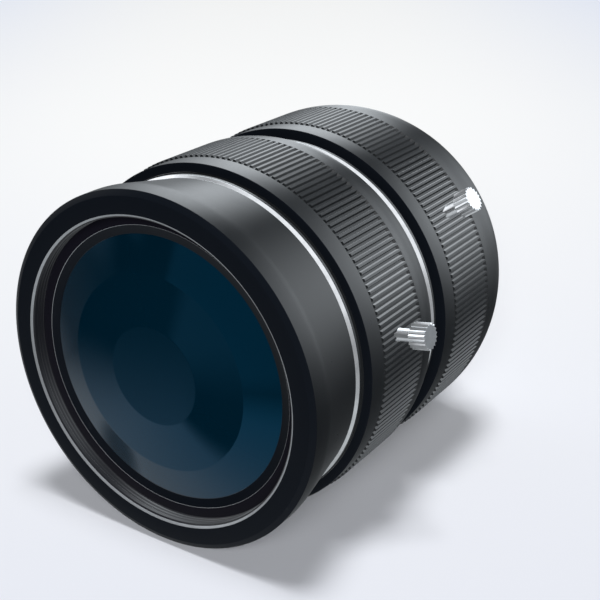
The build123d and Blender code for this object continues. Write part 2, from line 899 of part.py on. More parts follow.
iris_rib_start = iris_front + iris_collar_length
iris_rib_end = iris_rib_start + iris_rib_length
iris_step_depth = divider_rear + running_clearance
pin_socket_radius = ring_bore + iris_pin_socket_depth

with BuildPart() as iris_ring:
    with BuildSketch(Plane.XY):
        with BuildLine():
            Polyline(
                spot(ring_bore, iris_rear),
                spot(ring_bore, iris_step_depth),
                spot(divider_radius + running_clearance, iris_step_depth),
                spot(divider_radius + running_clearance, iris_front),
                spot(ring_radius, iris_front),
                spot(ring_radius, iris_rib_start),
                spot(rib_radius, iris_rib_start),
                spot(rib_radius, iris_rib_end),
            )
            TangentArc(
                spot(rib_radius, iris_rib_end),
                spot(valley_radius, iris_rear),
                tangent=(0, 1),
            )
            Line(spot(valley_radius, iris_rear), spot(ring_bore, iris_rear))
        make_face()
    revolve(axis=Axis.Y)
    # Blind socket inside the ring for the drive pin
    with BuildSketch(radial_plane(iris_pin_angle, iris_pin_depth, ring_bore - cut_margin)):
        Circle(iris_pin_radius + press_clearance)
    extrude(amount=iris_pin_socket_depth + cut_margin, mode=Mode.SUBTRACT)
    # Threaded hole for the lock screw
    with Locations(radial_plane(iris_lock_angle, iris_lock_depth, rib_radius)):
        Hole(lock_screw_radius + thread_clearance, depth=rib_radius - ring_bore + cut_margin)

iris_drive_pin = radial_pin(
    iris_pin_angle,
    iris_pin_depth,
    iris_pin_radius,
    finger_inner_radius - running_clearance,
    pin_socket_radius - press_clearance,
)


# Lock screws with their pads

pad_inner = main_barrel_radius + lock_pad_travel_gap
screw_tip = pad_inner + lock_pad_height
head_start = rib_radius + lock_neck_length


def lock_screw(angle, depth):
    """Thumbscrew with a plain neck and a fluted head."""
    with BuildPart() as screw:
        with BuildSketch(radial_plane(angle, depth, screw_tip)):
            Circle(lock_screw_radius)
        extrude(amount=head_start - screw_tip)
        with BuildSketch(radial_plane(angle, depth, head_start)):
            Circle(lock_head_radius)
            with PolarLocations(lock_head_radius, lock_flute_count):
                Circle(lock_flute_radius, mode=Mode.SUBTRACT)
        extrude(amount=lock_head_length)
    return screw


focus_lock_screw = lock_screw(focus_lock_angle, focus_lock_depth)
iris_lock_screw = lock_screw(iris_lock_angle, iris_lock_depth)
focus_lock_pad = radial_pin(focus_lock_angle, focus_lock_depth, lock_screw_radius, pad_inner, screw_tip)
iris_lock_pad = radial_pin(iris_lock_angle, iris_lock_depth, lock_screw_radius, pad_inner, screw_tip)


# Camera mount with its screws

plate_rear = mount_front + mount_plate_thickness
thread_end = flange_depth + mount_thread_length

with BuildPart() as camera_mount:
    profile = outline(
        (mount_bore_radius, mount_front),
        (mount_plate_radius, mount_front),
        (mount_plate_radius, plate_rear),
        (flange_boss_radius, plate_rear),
        (flange_boss_radius, flange_depth),
        (mount_thread_radius, flange_depth),
        (mount_thread_radius, thread_end - mount_thread_chamfer),
        (mount_thread_radius - mount_thread_chamfer, thread_end),
        (mount_bore_radius, thread_end),
    )
    revolve(profile, axis=Axis.Y)
    with Locations(rear_plane(plate_rear)):
        with PolarLocations(mount_screw_circle, mount_screw_count, start_angle=90):
            CounterSinkHole(
                mount_screw_radius + thread_clearance,
                mount_screw_head_radius + thread_clearance,
                depth=mount_plate_thickness,
                counter_sink_angle=90,
            )

with BuildPart() as mount_screws:
    with BuildSketch(rear_plane(plate_rear)):
        with PolarLocations(mount_screw_circle, mount_screw_count, start_angle=90):
            Circle(mount_screw_head_radius)
    extrude(amount=-(mount_screw_head_radius - mount_screw_radius), taper=45)
    with BuildSketch(rear_plane(plate_rear)):
        with PolarLocations(mount_screw_circle, mount_screw_count, start_angle=90):
            Circle(mount_screw_radius)
    extrude(amount=-mount_screw_length)
    with BuildSketch(rear_plane(plate_rear)):
        with PolarLocations(mount_screw_circle, mount_screw_count, start_angle=90):
            RegularPolygon(mount_screw_socket_radius, 6)
    extrude(amount=-mount_screw_socket_depth, mode=Mode.SUBTRACT)


# One STEP file for each piece

pieces = {
    "front_barrel": front_barrel,
    "front_retaining_ring": front_retaining_ring,
    "front_element": front_element,
    "lens_barrel": lens_barrel,
    "guide_pin": guide_pin,
    "front_cell": front_cell,
    "second_element": second_element,
    "front_group_spacer": front_group_spacer,
    "third_element": third_element,
    "fourth_element": fourth_element,
    "front_group_retaining_ring": front_group_retaining_ring,
    "diaphragm_seat": diaphragm_seat,
    "iris_rotor": iris_rotor,
    "rear_cell": rear_cell,
    "fifth_element": fifth_element,
    "sixth_element": sixth_element,
    "rear_group_spacer": rear_group_spacer,
    "seventh_element": seventh_element,
    "rear_retaining_ring": rear_retaining_ring,
    "main_barrel": main_barrel,
    "focus_stop_pin": focus_stop_pin,
    "focus_ring": focus_ring,
    "helicoid_nut": helicoid_nut,
    "helicoid_retaining_ring": helicoid_retaining_ring,
    "focus_thrust_ring": focus_thrust_ring,
    "focus_lock_screw": focus_lock_screw,
    "focus_lock_pad": focus_lock_pad,
    "iris_ring": iris_ring,
    "iris_drive_pin": iris_drive_pin,
    "iris_lock_screw": iris_lock_screw,
    "iris_lock_pad": iris_lock_pad,
    "camera_mount": camera_mount,
    "mount_screws": mount_screws,
}
for number, blade in enumerate(iris_blades, start=1):
    pieces[f"iris_blade_{number}"] = blade

for name, piece in pieces.items():
    piece.part.label = name
    export_step(piece.part, f"parts/{name}.step")
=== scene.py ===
# %% [markdown]
# # A prime lens lying on its side
#
# The CAD model gives every piece its place: the optical axis runs along Y, the front glass
# faces -Y, and the origin sits at the centre of the flange that meets the camera. This lesson
# loads that model, keeps its hidden pieces, and rebuilds the seen ones with the detail that a
# machinist would leave on them: turned faces, knurls, screw threads and polished chamfers.

# %% Load the frame
from math import cos, pi, radians, sin

import bmesh
import bpy
from mathutils import Matrix, Vector


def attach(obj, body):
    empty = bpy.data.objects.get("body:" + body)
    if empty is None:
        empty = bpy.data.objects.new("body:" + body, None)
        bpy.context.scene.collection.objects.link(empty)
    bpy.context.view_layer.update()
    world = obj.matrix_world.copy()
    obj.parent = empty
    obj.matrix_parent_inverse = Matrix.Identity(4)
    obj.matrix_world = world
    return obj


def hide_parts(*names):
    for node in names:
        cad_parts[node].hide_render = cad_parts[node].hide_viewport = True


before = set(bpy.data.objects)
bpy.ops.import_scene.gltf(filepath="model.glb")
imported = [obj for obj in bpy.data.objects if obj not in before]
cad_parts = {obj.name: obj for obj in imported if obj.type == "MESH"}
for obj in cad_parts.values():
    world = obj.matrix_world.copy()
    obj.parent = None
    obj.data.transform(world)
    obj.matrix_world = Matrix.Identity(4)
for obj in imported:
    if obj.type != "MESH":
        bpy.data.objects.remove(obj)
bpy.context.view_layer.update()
scene = bpy.context.scene
MM = 0.001
# Sections are written in millimetres behind the front rim, and the flange lies this far back.
FLANGE_DEPTH = 54.45

# %% [markdown]
# ## Turned pieces
#
# Nearly every piece of a lens comes off a lathe, so one helper does most of the work. It takes
# the half section as corners, each with a radius, a depth behind the front rim and a small
# rounding, and spins it round the Y axis. Real corners are never sharp: each is broken with a
# tiny chamfer, and that is what catches a line of light. Rounding every corner of the section
# before it is spun gives that line for free. A corner can also say which finish starts there,
# so a polished chamfer can sit on a black barrel.


# %% A section with broken corners
def depth_to_y(depth):
    """Y in metres of a station this many millimetres behind the front rim."""
    return (depth - FLANGE_DEPTH) * MM


def rounded(corners, closed=True, steps=3):
    """The section with each corner rounded; a corner is (radius, depth, rounding, finish)."""
    points = []
    count = len(corners)
    # Just under half of an edge, so that the roundings at its two ends never meet
    longest = 0.48
    for index, (r, d, size, finish) in enumerate(corners):
        here = Vector((r, d))
        before_r, before_d, _, before_finish = corners[index - 1]
        after_r, after_d, _, _ = corners[(index + 1) % count]
        end = not closed and index in (0, count - 1)
        if size <= 0 or end:
            points.append((r, d, finish))
            continue
        to_before = Vector((before_r, before_d)) - here
        to_after = Vector((after_r, after_d)) - here
        reach = min(size, to_before.length * longest, to_after.length * longest)
        start = here + to_before.normalized() * reach
        stop = here + to_after.normalized() * reach
        for step in range(steps + 1):
            t = step / steps
            spot = start * (1 - t) ** 2 + here * 2 * t * (1 - t) + stop * t * t
            points.append((spot.x, spot.y, finish if t >= 0.5 else before_finish))
    return points


print("the front rim lies at y =", round(depth_to_y(0.0), 5), "m")


# %% [markdown]
# A spun shape is a stack of rings of points with a skin between each ring and the next. Where a
# section touches the axis its ring shrinks to one point, a pole, and the skin closes there with
# triangles. The lathe, the drill and the lock screws below all share this way of building.


# %% Rings of points and the skin between them
def skin(work, one, two, around, finish=0, smooth=True):
    """Faces between two rings of points; a ring of a single point is a pole."""
    for turn in range(around):
        after = (turn + 1) % around
        corners = [one[turn % len(one)], one[after % len(one)],
                   two[after % len(two)], two[turn % len(two)]]
        face = work.faces.new(list(dict.fromkeys(corners)))
        face.material_index = finish
        face.smooth = smooth


def mesh_from(work, name):
    """Turns every face outwards and hands the built shape over as a mesh."""
    mesh = bpy.data.meshes.new(name)
    bmesh.ops.recalc_face_normals(work, faces=work.faces)
    work.to_mesh(mesh)
    work.free()
    return mesh


def add_object(name, data):
    piece = bpy.data.objects.new(name, data)
    scene.collection.objects.link(piece)
    return piece


def sharpen(piece, angle=28):
    """Marks the edges that turn by more than this angle as sharp, so flats stay flat."""
    mesh = piece.data
    work = bmesh.new()
    work.from_mesh(mesh)
    limit = radians(angle)
    for edge in work.edges:
        edge.smooth = len(edge.link_faces) != 2 or edge.calc_face_angle(0) < limit
    work.to_mesh(mesh)
    work.free()


# %% [markdown]
# The lathe itself turns each point of the section into a ring. It could be Blender's Screw
# modifier, but a loop leaves room for a cutter that changes the radius along the way, and that
# is how both screw threads of this lens are made.


# %% The lathe
def lathe(name, corners, finishes, segments=288, closed=True, cut=None):
    """Spins a section round the Y axis into a mesh object. A cut(r, d, turn) changes the radius."""
    section = rounded(corners, closed)
    work = bmesh.new()
    rings = []
    for r, d, _ in section:
        y = depth_to_y(d)
        if r < 1e-6:
            rings.append([work.verts.new((0, y, 0))])
            continue
        ring = []
        for turn in range(segments):
            a = 2 * pi * turn / segments
            here = (cut(r, d, turn / segments) if cut else r) * MM
            ring.append(work.verts.new((here * cos(a), y, here * sin(a))))
        rings.append(ring)
    last = len(rings) if closed else len(rings) - 1
    for index in range(last):
        skin(work, rings[index], rings[(index + 1) % len(rings)], segments, section[index][2])
    mesh = mesh_from(work, name)
    for finish in finishes:
        mesh.materials.append(finish)
    piece = add_object(name, mesh)
    sharpen(piece)
    print(name, len(mesh.polygons), "faces")
    return piece


# %% [markdown]
# ## Shader maths as Python
#
# Procedural finishes are sums and products of textures. Wiring each product by hand hides the
# idea, so one small class wraps a socket and lets Python's own operators add the Math nodes.


# %% A socket that behaves like a number
class Wire:
    """A shader socket that can be added, multiplied and compared like a number."""

    def __init__(self, shader, socket):
        self.shader = shader
        self.socket = socket

    def math(self, operation, other):
        return self.shader.node("ShaderNodeMath", dict(operation=operation), self, other)

    def math_after(self, operation, first):
        """The same with this socket second, for sums that start with a plain number."""
        return self.shader.node("ShaderNodeMath", dict(operation=operation), first, self)

    def __add__(self, other):
        return self.math("ADD", other)

    def __sub__(self, other):
        return self.math("SUBTRACT", other)

    def __mul__(self, other):
        return self.math("MULTIPLY", other)

    def __truediv__(self, other):
        return self.math("DIVIDE", other)

    def __pow__(self, other):
        return self.math("POWER", other)

    def __radd__(self, other):
        return self.math_after("ADD", other)

    def __rsub__(self, other):
        return self.math_after("SUBTRACT", other)

    def __rmul__(self, other):
        return self.math_after("MULTIPLY", other)

    def __rtruediv__(self, other):
        return self.math_after("DIVIDE", other)

    def __neg__(self):
        return 0.0 - self

    def above(self, level):
        return self.math("GREATER_THAN", level)

    def larger(self, other):
        return self.math("MAXIMUM", other)

    def between(self, low, high):
        """0 below low, 1 above high, and smooth between."""
        settings = dict(interpolation_type="SMOOTHSTEP", clamp=True)
        return self.shader.node("ShaderNodeMapRange", settings, self, low, high, 0.0, 1.0)


# %% [markdown]
# The other half of the helper is the tree that the nodes stand in. One method makes any node: it
# takes the node's type, its settings, and a value or a link for each socket, by place or by
# name. Where a node has several sockets of one name, a table of places says which are meant.


# %% A tree of nodes
class Shader:
    """A node tree of a material or a world, with one call for any node."""

    def __init__(self, owner):
        owner.use_nodes = True
        self.tree = owner.node_tree
        self.tree.nodes.clear()

    def node(self, kind, settings=None, *values, out=0, places=None, **named):
        made = self.tree.nodes.new(kind)
        for key, value in (settings or {}).items():
            if key == "stops":
                ramp = made.color_ramp
                while len(ramp.elements) < len(value):
                    ramp.elements.new(0.5)
                for stop, (place, colour) in zip(ramp.elements, value):
                    stop.position = place
                    stop.color = colour
            else:
                setattr(made, key, value)
        slots = list(enumerate(values)) + list((places or {}).items()) + list(named.items())
        for key, value in slots:
            socket = made.inputs[key.replace("_", " ") if isinstance(key, str) else key]
            if isinstance(value, Wire):
                self.tree.links.new(value.socket, socket)
            else:
                socket.default_value = value
        return Wire(self, made.outputs[out])

    def place(self):
        """Object coordinates in metres, the node's fourth output."""
        return self.node("ShaderNodeTexCoord", out=3)

    def split(self, vector):
        made = self.node("ShaderNodeSeparateXYZ", None, vector)
        return [Wire(self, socket) for socket in made.socket.node.outputs]

    def join(self, x, y, z):
        return self.node("ShaderNodeCombineXYZ", None, x, y, z)

    def noise(self, vector, scale, detail=3.0, rough=0.5):
        return self.node("ShaderNodeTexNoise", None,
                         Vector=vector, Scale=scale, Detail=detail, Roughness=rough)

    def mix(self, factor, one, two):
        """Colour one where the factor is 0 and colour two where it is 1."""
        # A Mix node has sockets for each data type: its two colours are 6 and 7, the result 2.
        return self.node("ShaderNodeMix", dict(data_type="RGBA"), out=2,
                         places={0: factor, 6: one, 7: two})

    def finish(self, surface, kind="ShaderNodeOutputMaterial"):
        end = self.tree.nodes.new(kind)
        self.tree.links.new(surface.socket, end.inputs["Surface"])


# %% [markdown]
# Colours are read off a screen as numbers from 0 to 255, on a scale that suits the eye. Blender
# adds up light, so it wants each of them on a linear scale, where half the light is half the
# number.


# %% Colours and new materials
def srgb(red, green, blue):
    """A colour as it looks on the screen, from 0 to 255, turned into Blender's linear values."""
    def channel(value):
        value /= 255
        return value / 12.92 if value <= 0.04045 else ((value + 0.055) / 1.055) ** 2.4
    return (channel(red), channel(green), channel(blue), 1.0)


def material(name):
    made = bpy.data.materials.new(name)
    return made, Shader(made)


print("a mid grey of 128 is", round(srgb(128, 128, 128)[0], 3), "in linear light")

# %% [markdown]
# ## Black anodised aluminium
#
# Anodising turns bare aluminium into a hard satin black. It still shows the lathe: very fine
# rings round the axis, which stretch each highlight. The finish is a dark base with a fairly
# low roughness, a trace of fine rings in the bump, and a faint mottling of the roughness.


# %% Black anodised finish
def turned(shader, fine=9000.0, strength=0.05):
    """Bump of fine lathe rings round the Y axis, with a grain of bead blasting."""
    place = shader.place()
    x, y, z = shader.split(place)
    radius = (x * x + z * z) ** 0.5
    rings = shader.noise(shader.join(radius, y, 0.0), fine, 1.0)
    grain = shader.noise(place, 4200.0, 2.0)
    height = rings * 0.6 + grain * 0.4
    return shader.node("ShaderNodeBump", None, Strength=strength, Distance=0.00002, Height=height)


def black_finish(name, colour, roughness=0.34, specular=0.5, strength=0.12):
    made, shader = material(name)
    place = shader.place()
    mottle = shader.noise(place, 260.0, 4.0)
    fine = shader.noise(place, 2600.0, 2.0)
    rough = roughness + (mottle - 0.5) * 0.08 + (fine - 0.5) * 0.06
    dust = shader.noise(place, 700.0, 5.0, 0.7).between(0.62, 0.78)
    base = shader.mix(dust * 0.05, colour, srgb(92, 96, 100))
    surface = shader.node(
        "ShaderNodeBsdfPrincipled", None,
        Base_Color=base, Roughness=rough, Specular_IOR_Level=specular,
        Normal=turned(shader, strength=strength),
    )
    shader.finish(surface)
    return made


black = black_finish("black_anodised", srgb(14, 17, 20), roughness=0.3)
ring_black = black_finish("black_ring_anodised", srgb(15, 18, 21), roughness=0.3, specular=0.66)
thread_grey = black_finish("worn_thread", srgb(19, 20, 25), roughness=0.36, specular=0.34)
rim_black = black_finish("black_rim_face", srgb(13, 17, 23), roughness=0.34, specular=0.06)
black_inside = black_finish("black_inner_wall", srgb(15, 14, 22), roughness=0.42, specular=0.05)
print("black finishes:", black.name, ring_black.name, thread_grey.name, rim_black.name,
      black_inside.name)

# %% [markdown]
# ## Polished edges
#
# After anodising, the maker cuts a few edges once more. The black layer comes off, and a
# bright line of bare aluminium runs round the lens, satin or nearly a mirror, with fine rings.
# The other bare metals of the lens differ from it in little more than colour and roughness.


# %% Bare metal finishes
def metal_finish(name, colour, roughness=0.25, strength=0.1, fine=9000.0):
    made, shader = material(name)
    place = shader.place()
    wear = shader.noise(place, 900.0, 3.0)
    rough = roughness + (wear - 0.5) * 0.12
    surface = shader.node(
        "ShaderNodeBsdfPrincipled", None,
        Base_Color=shader.mix(wear.between(0.3, 0.8) * 0.25, colour, srgb(150, 152, 156)),
        Metallic=1.0, Roughness=rough, Normal=turned(shader, fine, strength),
    )
    shader.finish(surface)
    return made


satin_edge = metal_finish("bare_satin_edge", srgb(184, 187, 191), roughness=0.5)
bright_edge = metal_finish("bare_bright_edge", srgb(235, 237, 240), roughness=0.3)
nickel = metal_finish("nickel_plate", srgb(218, 220, 223), roughness=0.3, strength=0.01)
steel = metal_finish("bright_steel", srgb(232, 234, 238), roughness=0.2)
chrome = metal_finish("satin_chrome_mount", srgb(198, 200, 204), roughness=0.28, strength=0.2)
brass = metal_finish("helicoid_brass", srgb(206, 168, 92), roughness=0.3, strength=0.15)
blade_steel = metal_finish("blued_blade_steel", srgb(52, 54, 60), roughness=0.42, strength=0.2,
                           fine=4000.0)
print("bare metals:", satin_edge.name, bright_edge.name, nickel.name, steel.name, chrome.name,
      brass.name, blade_steel.name)

# %% [markdown]
# ## Front barrel
#
# The front barrel is a short cone with a flat rim. Its inner edge is a bright chamfer where a
# filter starts, then comes the filter thread. At the rear it runs down to a valley, and a
# second bright chamfer rises out of it.

# %% Section of the front barrel
# A corner's last value is the place of its finish in the piece's own list of finishes.
BLACK, BRIGHT, INNER, SATIN, THREAD, RIM = 0, 1, 2, 3, 4, 5
thread_top = 20.0
thread_back = 2.0
thread_run = 1.62
thread_rows = 24
barrel_section = [
    (20.42, 0.0, 0.03, RIM),
    (22.65, 0.0, 0.04, RIM),
    (23.4, 0.35, 0.08, BLACK),
    (23.4, 3.0, 0.6, BLACK),
    (21.8, 11.35, 0.05, BRIGHT),
    (22.15, 11.7, 0.04, BLACK),
    (22.15, 12.15, 0.04, BLACK),
    (19.85, 12.15, 0.03, INNER),
    (19.85, 9.045, 0.0, INNER),
    (16.8, 9.045, 0.0, INNER),
    (16.8, 7.695, 0.0, INNER),
    (18.05, 7.695, 0.0, INNER),
    (18.05, 3.2, 0.0, INNER),
    (thread_top, 3.2, 0.0, INNER),
]
for row in range(thread_rows + 1):
    barrel_section.append((thread_top, thread_back - thread_run * row / thread_rows, 0.0, THREAD))
barrel_section.append((20.17, 0.23, 0.01, SATIN))
print("front barrel section:", len(barrel_section), "corners")

# %% [markdown]
# The filter thread is a true helix. The lathe asks a small function for the radius at every
# point, and that function looks up where the point lies between two turns of the thread. The
# turns are shallow here, because the wall of the real one looks nearly smooth.


# %% Filter thread and barrel
filter_pitch = 0.5
filter_groove = 0.07
first_turn, last_turn = 0.9, 1.95


def groove(depth, turn, pitch, height):
    """How deep a V thread cuts at this depth and this share of a turn."""
    steepness = 2.3
    phase = (depth / pitch + turn) % 1.0
    return height * max(0.0, 1.0 - abs(phase - 0.5) * steepness)


def filter_thread(r, d, turn):
    inside = r == thread_top and first_turn < d < last_turn
    return r + groove(d, turn, filter_pitch, filter_groove) if inside else r


barrel_finishes = [black, bright_edge, black_inside, satin_edge, thread_grey, rim_black]
front_barrel = lathe("front_barrel_shell", barrel_section, barrel_finishes, cut=filter_thread)
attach(front_barrel, "optics_block")
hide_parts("front_barrel")

# %% [markdown]
# ## Front glass
#
# The front element is a domed disc. On this lens the dome shows three clear steps: a flat cap
# in the middle, and two shallow cones round it. Each step mirrors its own slice of the room,
# so the glass falls into rings with light and dark sectors. The coating is deep teal: it comes
# from a blue tint of the mirrored light over a nearly black base.


# %% Coated glass
def glass_finish():
    made, shader = material("coated_glass")
    place = shader.place()
    smear = shader.noise(place, 120.0, 3.0)
    surface = shader.node(
        "ShaderNodeBsdfPrincipled", None,
        Base_Color=shader.mix(smear * 0.1, srgb(1, 26, 39), srgb(3, 29, 43)),
        Roughness=0.05 + (smear - 0.5) * 0.02,
        Specular_IOR_Level=0.5,
        Specular_Tint=(0.02, 0.47, 1.0, 1.0),
    )
    shader.finish(surface)
    return made


coated = glass_finish()

# %% Glass dome
GLASS = 0
glass_section = [
    (0.0, 0.15, 0.0, GLASS),
    (6.48, 0.15, 0.1, GLASS),
    (12.95, 0.85, 0.1, GLASS),
    (17.6, 2.4, 0.1, GLASS),
    (18.0, 2.6, 0.05, GLASS),
    (18.0, 7.64, 0.05, GLASS),
    (16.5, 7.64, 0.0, GLASS),
    (12.0, 7.05, 0.0, GLASS),
    (6.0, 6.56, 0.0, GLASS),
    (0.0, 6.4, 0.0, GLASS),
]
front_glass = lathe("front_glass", glass_section, [coated], closed=False)
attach(front_glass, "optics_block")
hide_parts("front_element")

# %% [markdown]
# ## Knurled rings
#
# Both rings carry a straight knurl: fine ribs along the axis, cut so that a finger grips them.
# The smooth parts come off the lathe helper. The ribs repeat 176 times, so Geometry Nodes put
# one small rib on every point of a circle and turn it to face outwards. The floor between two
# ribs gets a duller, less shiny copy of the black: painted shade for the grooves between ribs.

# %% What both rings share
SHADED_VALLEY = 6
ground = 23.5
rib_top = 23.8
# A duller, less shiny copy of the ring's black: painted shade on the floor between the ribs.
valley_painted_shade = black_finish("black_knurl_valley_painted_shade", srgb(14, 17, 20), roughness=0.34, specular=0.46)
ring_finishes = [ring_black, bright_edge, black_inside, satin_edge, thread_grey, rim_black,
                 valley_painted_shade]


def arc(start, stop, bulge, finish, steps=10):
    """Corners of a shallow arc that leaves the start along the axis and ends before stop."""
    made = []
    for step in range(steps):
        t = step / steps
        r = start[0] + (stop[0] - start[0]) * t ** bulge
        d = start[1] + (stop[1] - start[1]) * t
        made.append((r, d, 0.0, finish))
    return made


print("the ribs stand", round(rib_top - ground, 2), "mm above the ground of the knurl")

# %% Focus ring shell
focus_knurl = 15.2
focus_section = [
    (22.3, 12.35, 0.05, RIM),
    (ground, 12.35, 0.12, BLACK),
    (ground, focus_knurl, 0.0, SHADED_VALLEY),
    (ground, 24.25, 0.0, BLACK),
    (rib_top, 24.55, 0.0, BLACK),
]
focus_section += arc((rib_top, 24.75), (21.8, 30.3), 2.1, BLACK)
focus_section += [
    (21.8, 30.3, 0.05, BRIGHT),
    (22.15, 30.65, 0.04, BLACK),
    (22.15, 31.1, 0.04, BLACK),
    (21.0, 31.1, 0.0, INNER),
    (21.0, 18.0, 0.0, INNER),
    (22.0, 18.0, 0.0, INNER),
    (22.0, 16.8, 0.0, INNER),
    (22.3, 16.8, 0.0, INNER),
]
focus_shell = lathe("focus_ring_shell", focus_section, ring_finishes)
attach(focus_shell, "focus_ring")
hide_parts("focus_ring")

# %% Iris ring shell
iris_knurl = 34.0
iris_section = [
    (22.0, 31.3, 0.05, RIM),
    (ground, 31.3, 0.12, BLACK),
    (ground, iris_knurl, 0.0, SHADED_VALLEY),
    (ground, 43.3, 0.0, BLACK),
    (rib_top, 43.6, 0.0, BLACK),
]
iris_section += arc((rib_top, 43.75), (21.8, 51.5), 2.0, BLACK)
iris_section += [
    (21.8, 51.5, 0.1, BLACK),
    (21.0, 51.5, 0.0, INNER),
    (21.0, 32.3, 0.0, INNER),
    (22.0, 32.3, 0.0, INNER),
]
iris_shell = lathe("iris_ring_shell", iris_section, ring_finishes)
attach(iris_shell, "iris_ring")
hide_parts("iris_ring")


# %% [markdown]
# A rib is a bar with sloping sides, narrow at the crown. Its foot sinks a little into the ring,
# so no gap shows under it. With six faces it is light enough to be repeated all the way round.


# %% One rib
def rib_mesh(name, length, foot=0.556, crown=0.288, height=0.3, sink=0.05):
    """A rib along Y with sloping sides, as a straight knurling wheel leaves it."""
    lean = (foot - crown) / 2 / height * sink
    section = [(-foot / 2 - lean, -sink), (-crown / 2, height),
               (crown / 2, height), (foot / 2 + lean, -sink)]
    mesh = bpy.data.meshes.new(name)
    corners = [(u * MM, along * MM, v * MM) for along in (0.0, length) for u, v in section]
    sides = [(0, 1, 5, 4), (1, 2, 6, 5), (2, 3, 7, 6), (3, 0, 4, 7), (3, 2, 1, 0), (4, 5, 6, 7)]
    mesh.from_pydata(corners, [], sides)
    print(name, length, "mm long,", foot, "mm at its foot")
    return bpy.data.objects.new(name, mesh)


focus_rib = rib_mesh("focus_rib", 9.4)
iris_rib = rib_mesh("iris_rib", 9.6)


# %% [markdown]
# The tree could be drawn by hand in the node editor. Written out, it is the same chain: a
# circle gives the points, each point gets a rib, and each rib is turned by its own place.


# %% A tree that sets ribs round a ring
def ring_tree():
    """Geometry Nodes: a circle of points, a rib on each, turned outwards, made real."""
    tree = bpy.data.node_groups.new("ribs_round_a_ring", "GeometryNodeTree")
    face = tree.interface
    for title, kind in (("Geometry", "Geometry"), ("Rib", "Object"), ("Count", "Int"),
                        ("Radius", "Float"), ("Start", "Float"), ("Finish", "Material")):
        face.new_socket(title, in_out="INPUT", socket_type="NodeSocket" + kind)
    face.new_socket("Geometry", in_out="OUTPUT", socket_type="NodeSocketGeometry")
    new = tree.nodes.new
    link = tree.links.new
    inputs = new("NodeGroupInput").outputs
    circle = new("GeometryNodeMeshCircle")
    link(inputs["Count"], circle.inputs["Vertices"])
    link(inputs["Radius"], circle.inputs["Radius"])
    # The circle lies flat on XY, so its points are stood up round the Y axis.
    stand = new("GeometryNodeTransform")
    stand.inputs["Rotation"].default_value = (pi / 2, 0.0, 0.0)
    link(circle.outputs["Mesh"], stand.inputs["Geometry"])
    shift = new("ShaderNodeCombineXYZ")
    link(inputs["Start"], shift.inputs["Y"])
    link(shift.outputs[0], stand.inputs["Translation"])
    # Each rib's up direction points away from the axis.
    place = new("GeometryNodeInputPosition")
    flat = new("ShaderNodeVectorMath")
    flat.operation = "MULTIPLY"
    flat.inputs[1].default_value = (1.0, 0.0, 1.0)
    link(place.outputs[0], flat.inputs[0])
    align = new("FunctionNodeAxesToRotation")
    align.primary_axis = "Z"
    align.secondary_axis = "Y"
    align.inputs["Secondary Axis"].default_value = (0.0, 1.0, 0.0)
    link(flat.outputs[0], align.inputs["Primary Axis"])
    rib = new("GeometryNodeObjectInfo")
    rib.transform_space = "ORIGINAL"
    link(inputs["Rib"], rib.inputs["Object"])
    seat = new("GeometryNodeInstanceOnPoints")
    link(stand.outputs["Geometry"], seat.inputs["Points"])
    link(rib.outputs["Geometry"], seat.inputs["Instance"])
    link(align.outputs[0], seat.inputs["Rotation"])
    real = new("GeometryNodeRealizeInstances")
    link(seat.outputs[0], real.inputs[0])
    paint = new("GeometryNodeSetMaterial")
    link(real.outputs[0], paint.inputs["Geometry"])
    link(inputs["Finish"], paint.inputs["Material"])
    end = new("NodeGroupOutput")
    link(paint.outputs[0], end.inputs[0])
    return tree


ribs_tree = ring_tree()
print("the tree of ribs has", len(ribs_tree.nodes), "nodes")

# %% [markdown]
# The tree runs as a modifier on an empty mesh. Its result is kept as a plain mesh and the
# modifier goes, so the ribs are ordinary faces that ride their ring and can be exported.


# %% Ribs on both rings
RIB_COUNT = 176


def plain_mesh(piece):
    """The piece's mesh as its modifiers leave it."""
    return bpy.data.meshes.new_from_object(
        piece.evaluated_get(bpy.context.evaluated_depsgraph_get()))


def set_round(name, tree, values):
    """Runs the tree once and keeps its result as a plain mesh."""
    host = add_object(name, bpy.data.meshes.new(name))
    modifier = host.modifiers.new("ribs", "NODES")
    modifier.node_group = tree
    for item in tree.interface.items_tree:
        if item.in_out == "INPUT" and item.name in values:
            modifier[item.identifier] = values[item.name]
    made = plain_mesh(host)
    host.modifiers.remove(modifier)
    host.data = made
    host.data.name = name
    print(name, len(made.polygons), "faces")
    return host


knurl = {"Count": RIB_COUNT, "Radius": ground * MM, "Finish": ring_black}
focus_ribs = set_round("focus_ring_ribs", ribs_tree,
                       dict(knurl, Rib=focus_rib, Start=depth_to_y(focus_knurl)))
iris_ribs = set_round("iris_ring_ribs", ribs_tree,
                      dict(knurl, Rib=iris_rib, Start=depth_to_y(iris_knurl)))
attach(focus_ribs, "focus_ring")
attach(iris_ribs, "iris_ring")

# %% [markdown]
# ## Retaining ring
#
# A thin threaded ring holds the front glass. Its flat face meets a cone that runs down to the
# glass, and the corner between the two is worn bare by handling, so it shows as a fine line.

# %% Retaining ring
ring_section = [
    (18.62, 2.0, 0.0, INNER),
    (19.95, 2.0, 0.03, INNER),
    (19.95, 3.14, 0.0, INNER),
    (18.05, 3.14, 0.0, INNER),
    (18.05, 2.62, 0.0, INNER),
    (17.45, 2.34, 0.0, BLACK),
    (17.45, 2.24, 0.02, BLACK),
    (18.58, 2.03, 0.0, BRIGHT),
]
retaining_ring = lathe("front_retaining_ring_shell", ring_section,
                       [rim_black, satin_edge, black_inside])
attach(retaining_ring, "optics_block")
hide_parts("front_retaining_ring")

# %% [markdown]
# ## Drilled holes
#
# A drill leaves a round hole whatever the surface does, and a Boolean modifier does the same. The
# cutter is a small turned plug: a section of (radius, reach) pairs spun round its own axis. The
# modifier is evaluated once and its mesh kept, so nothing live stays on the piece.


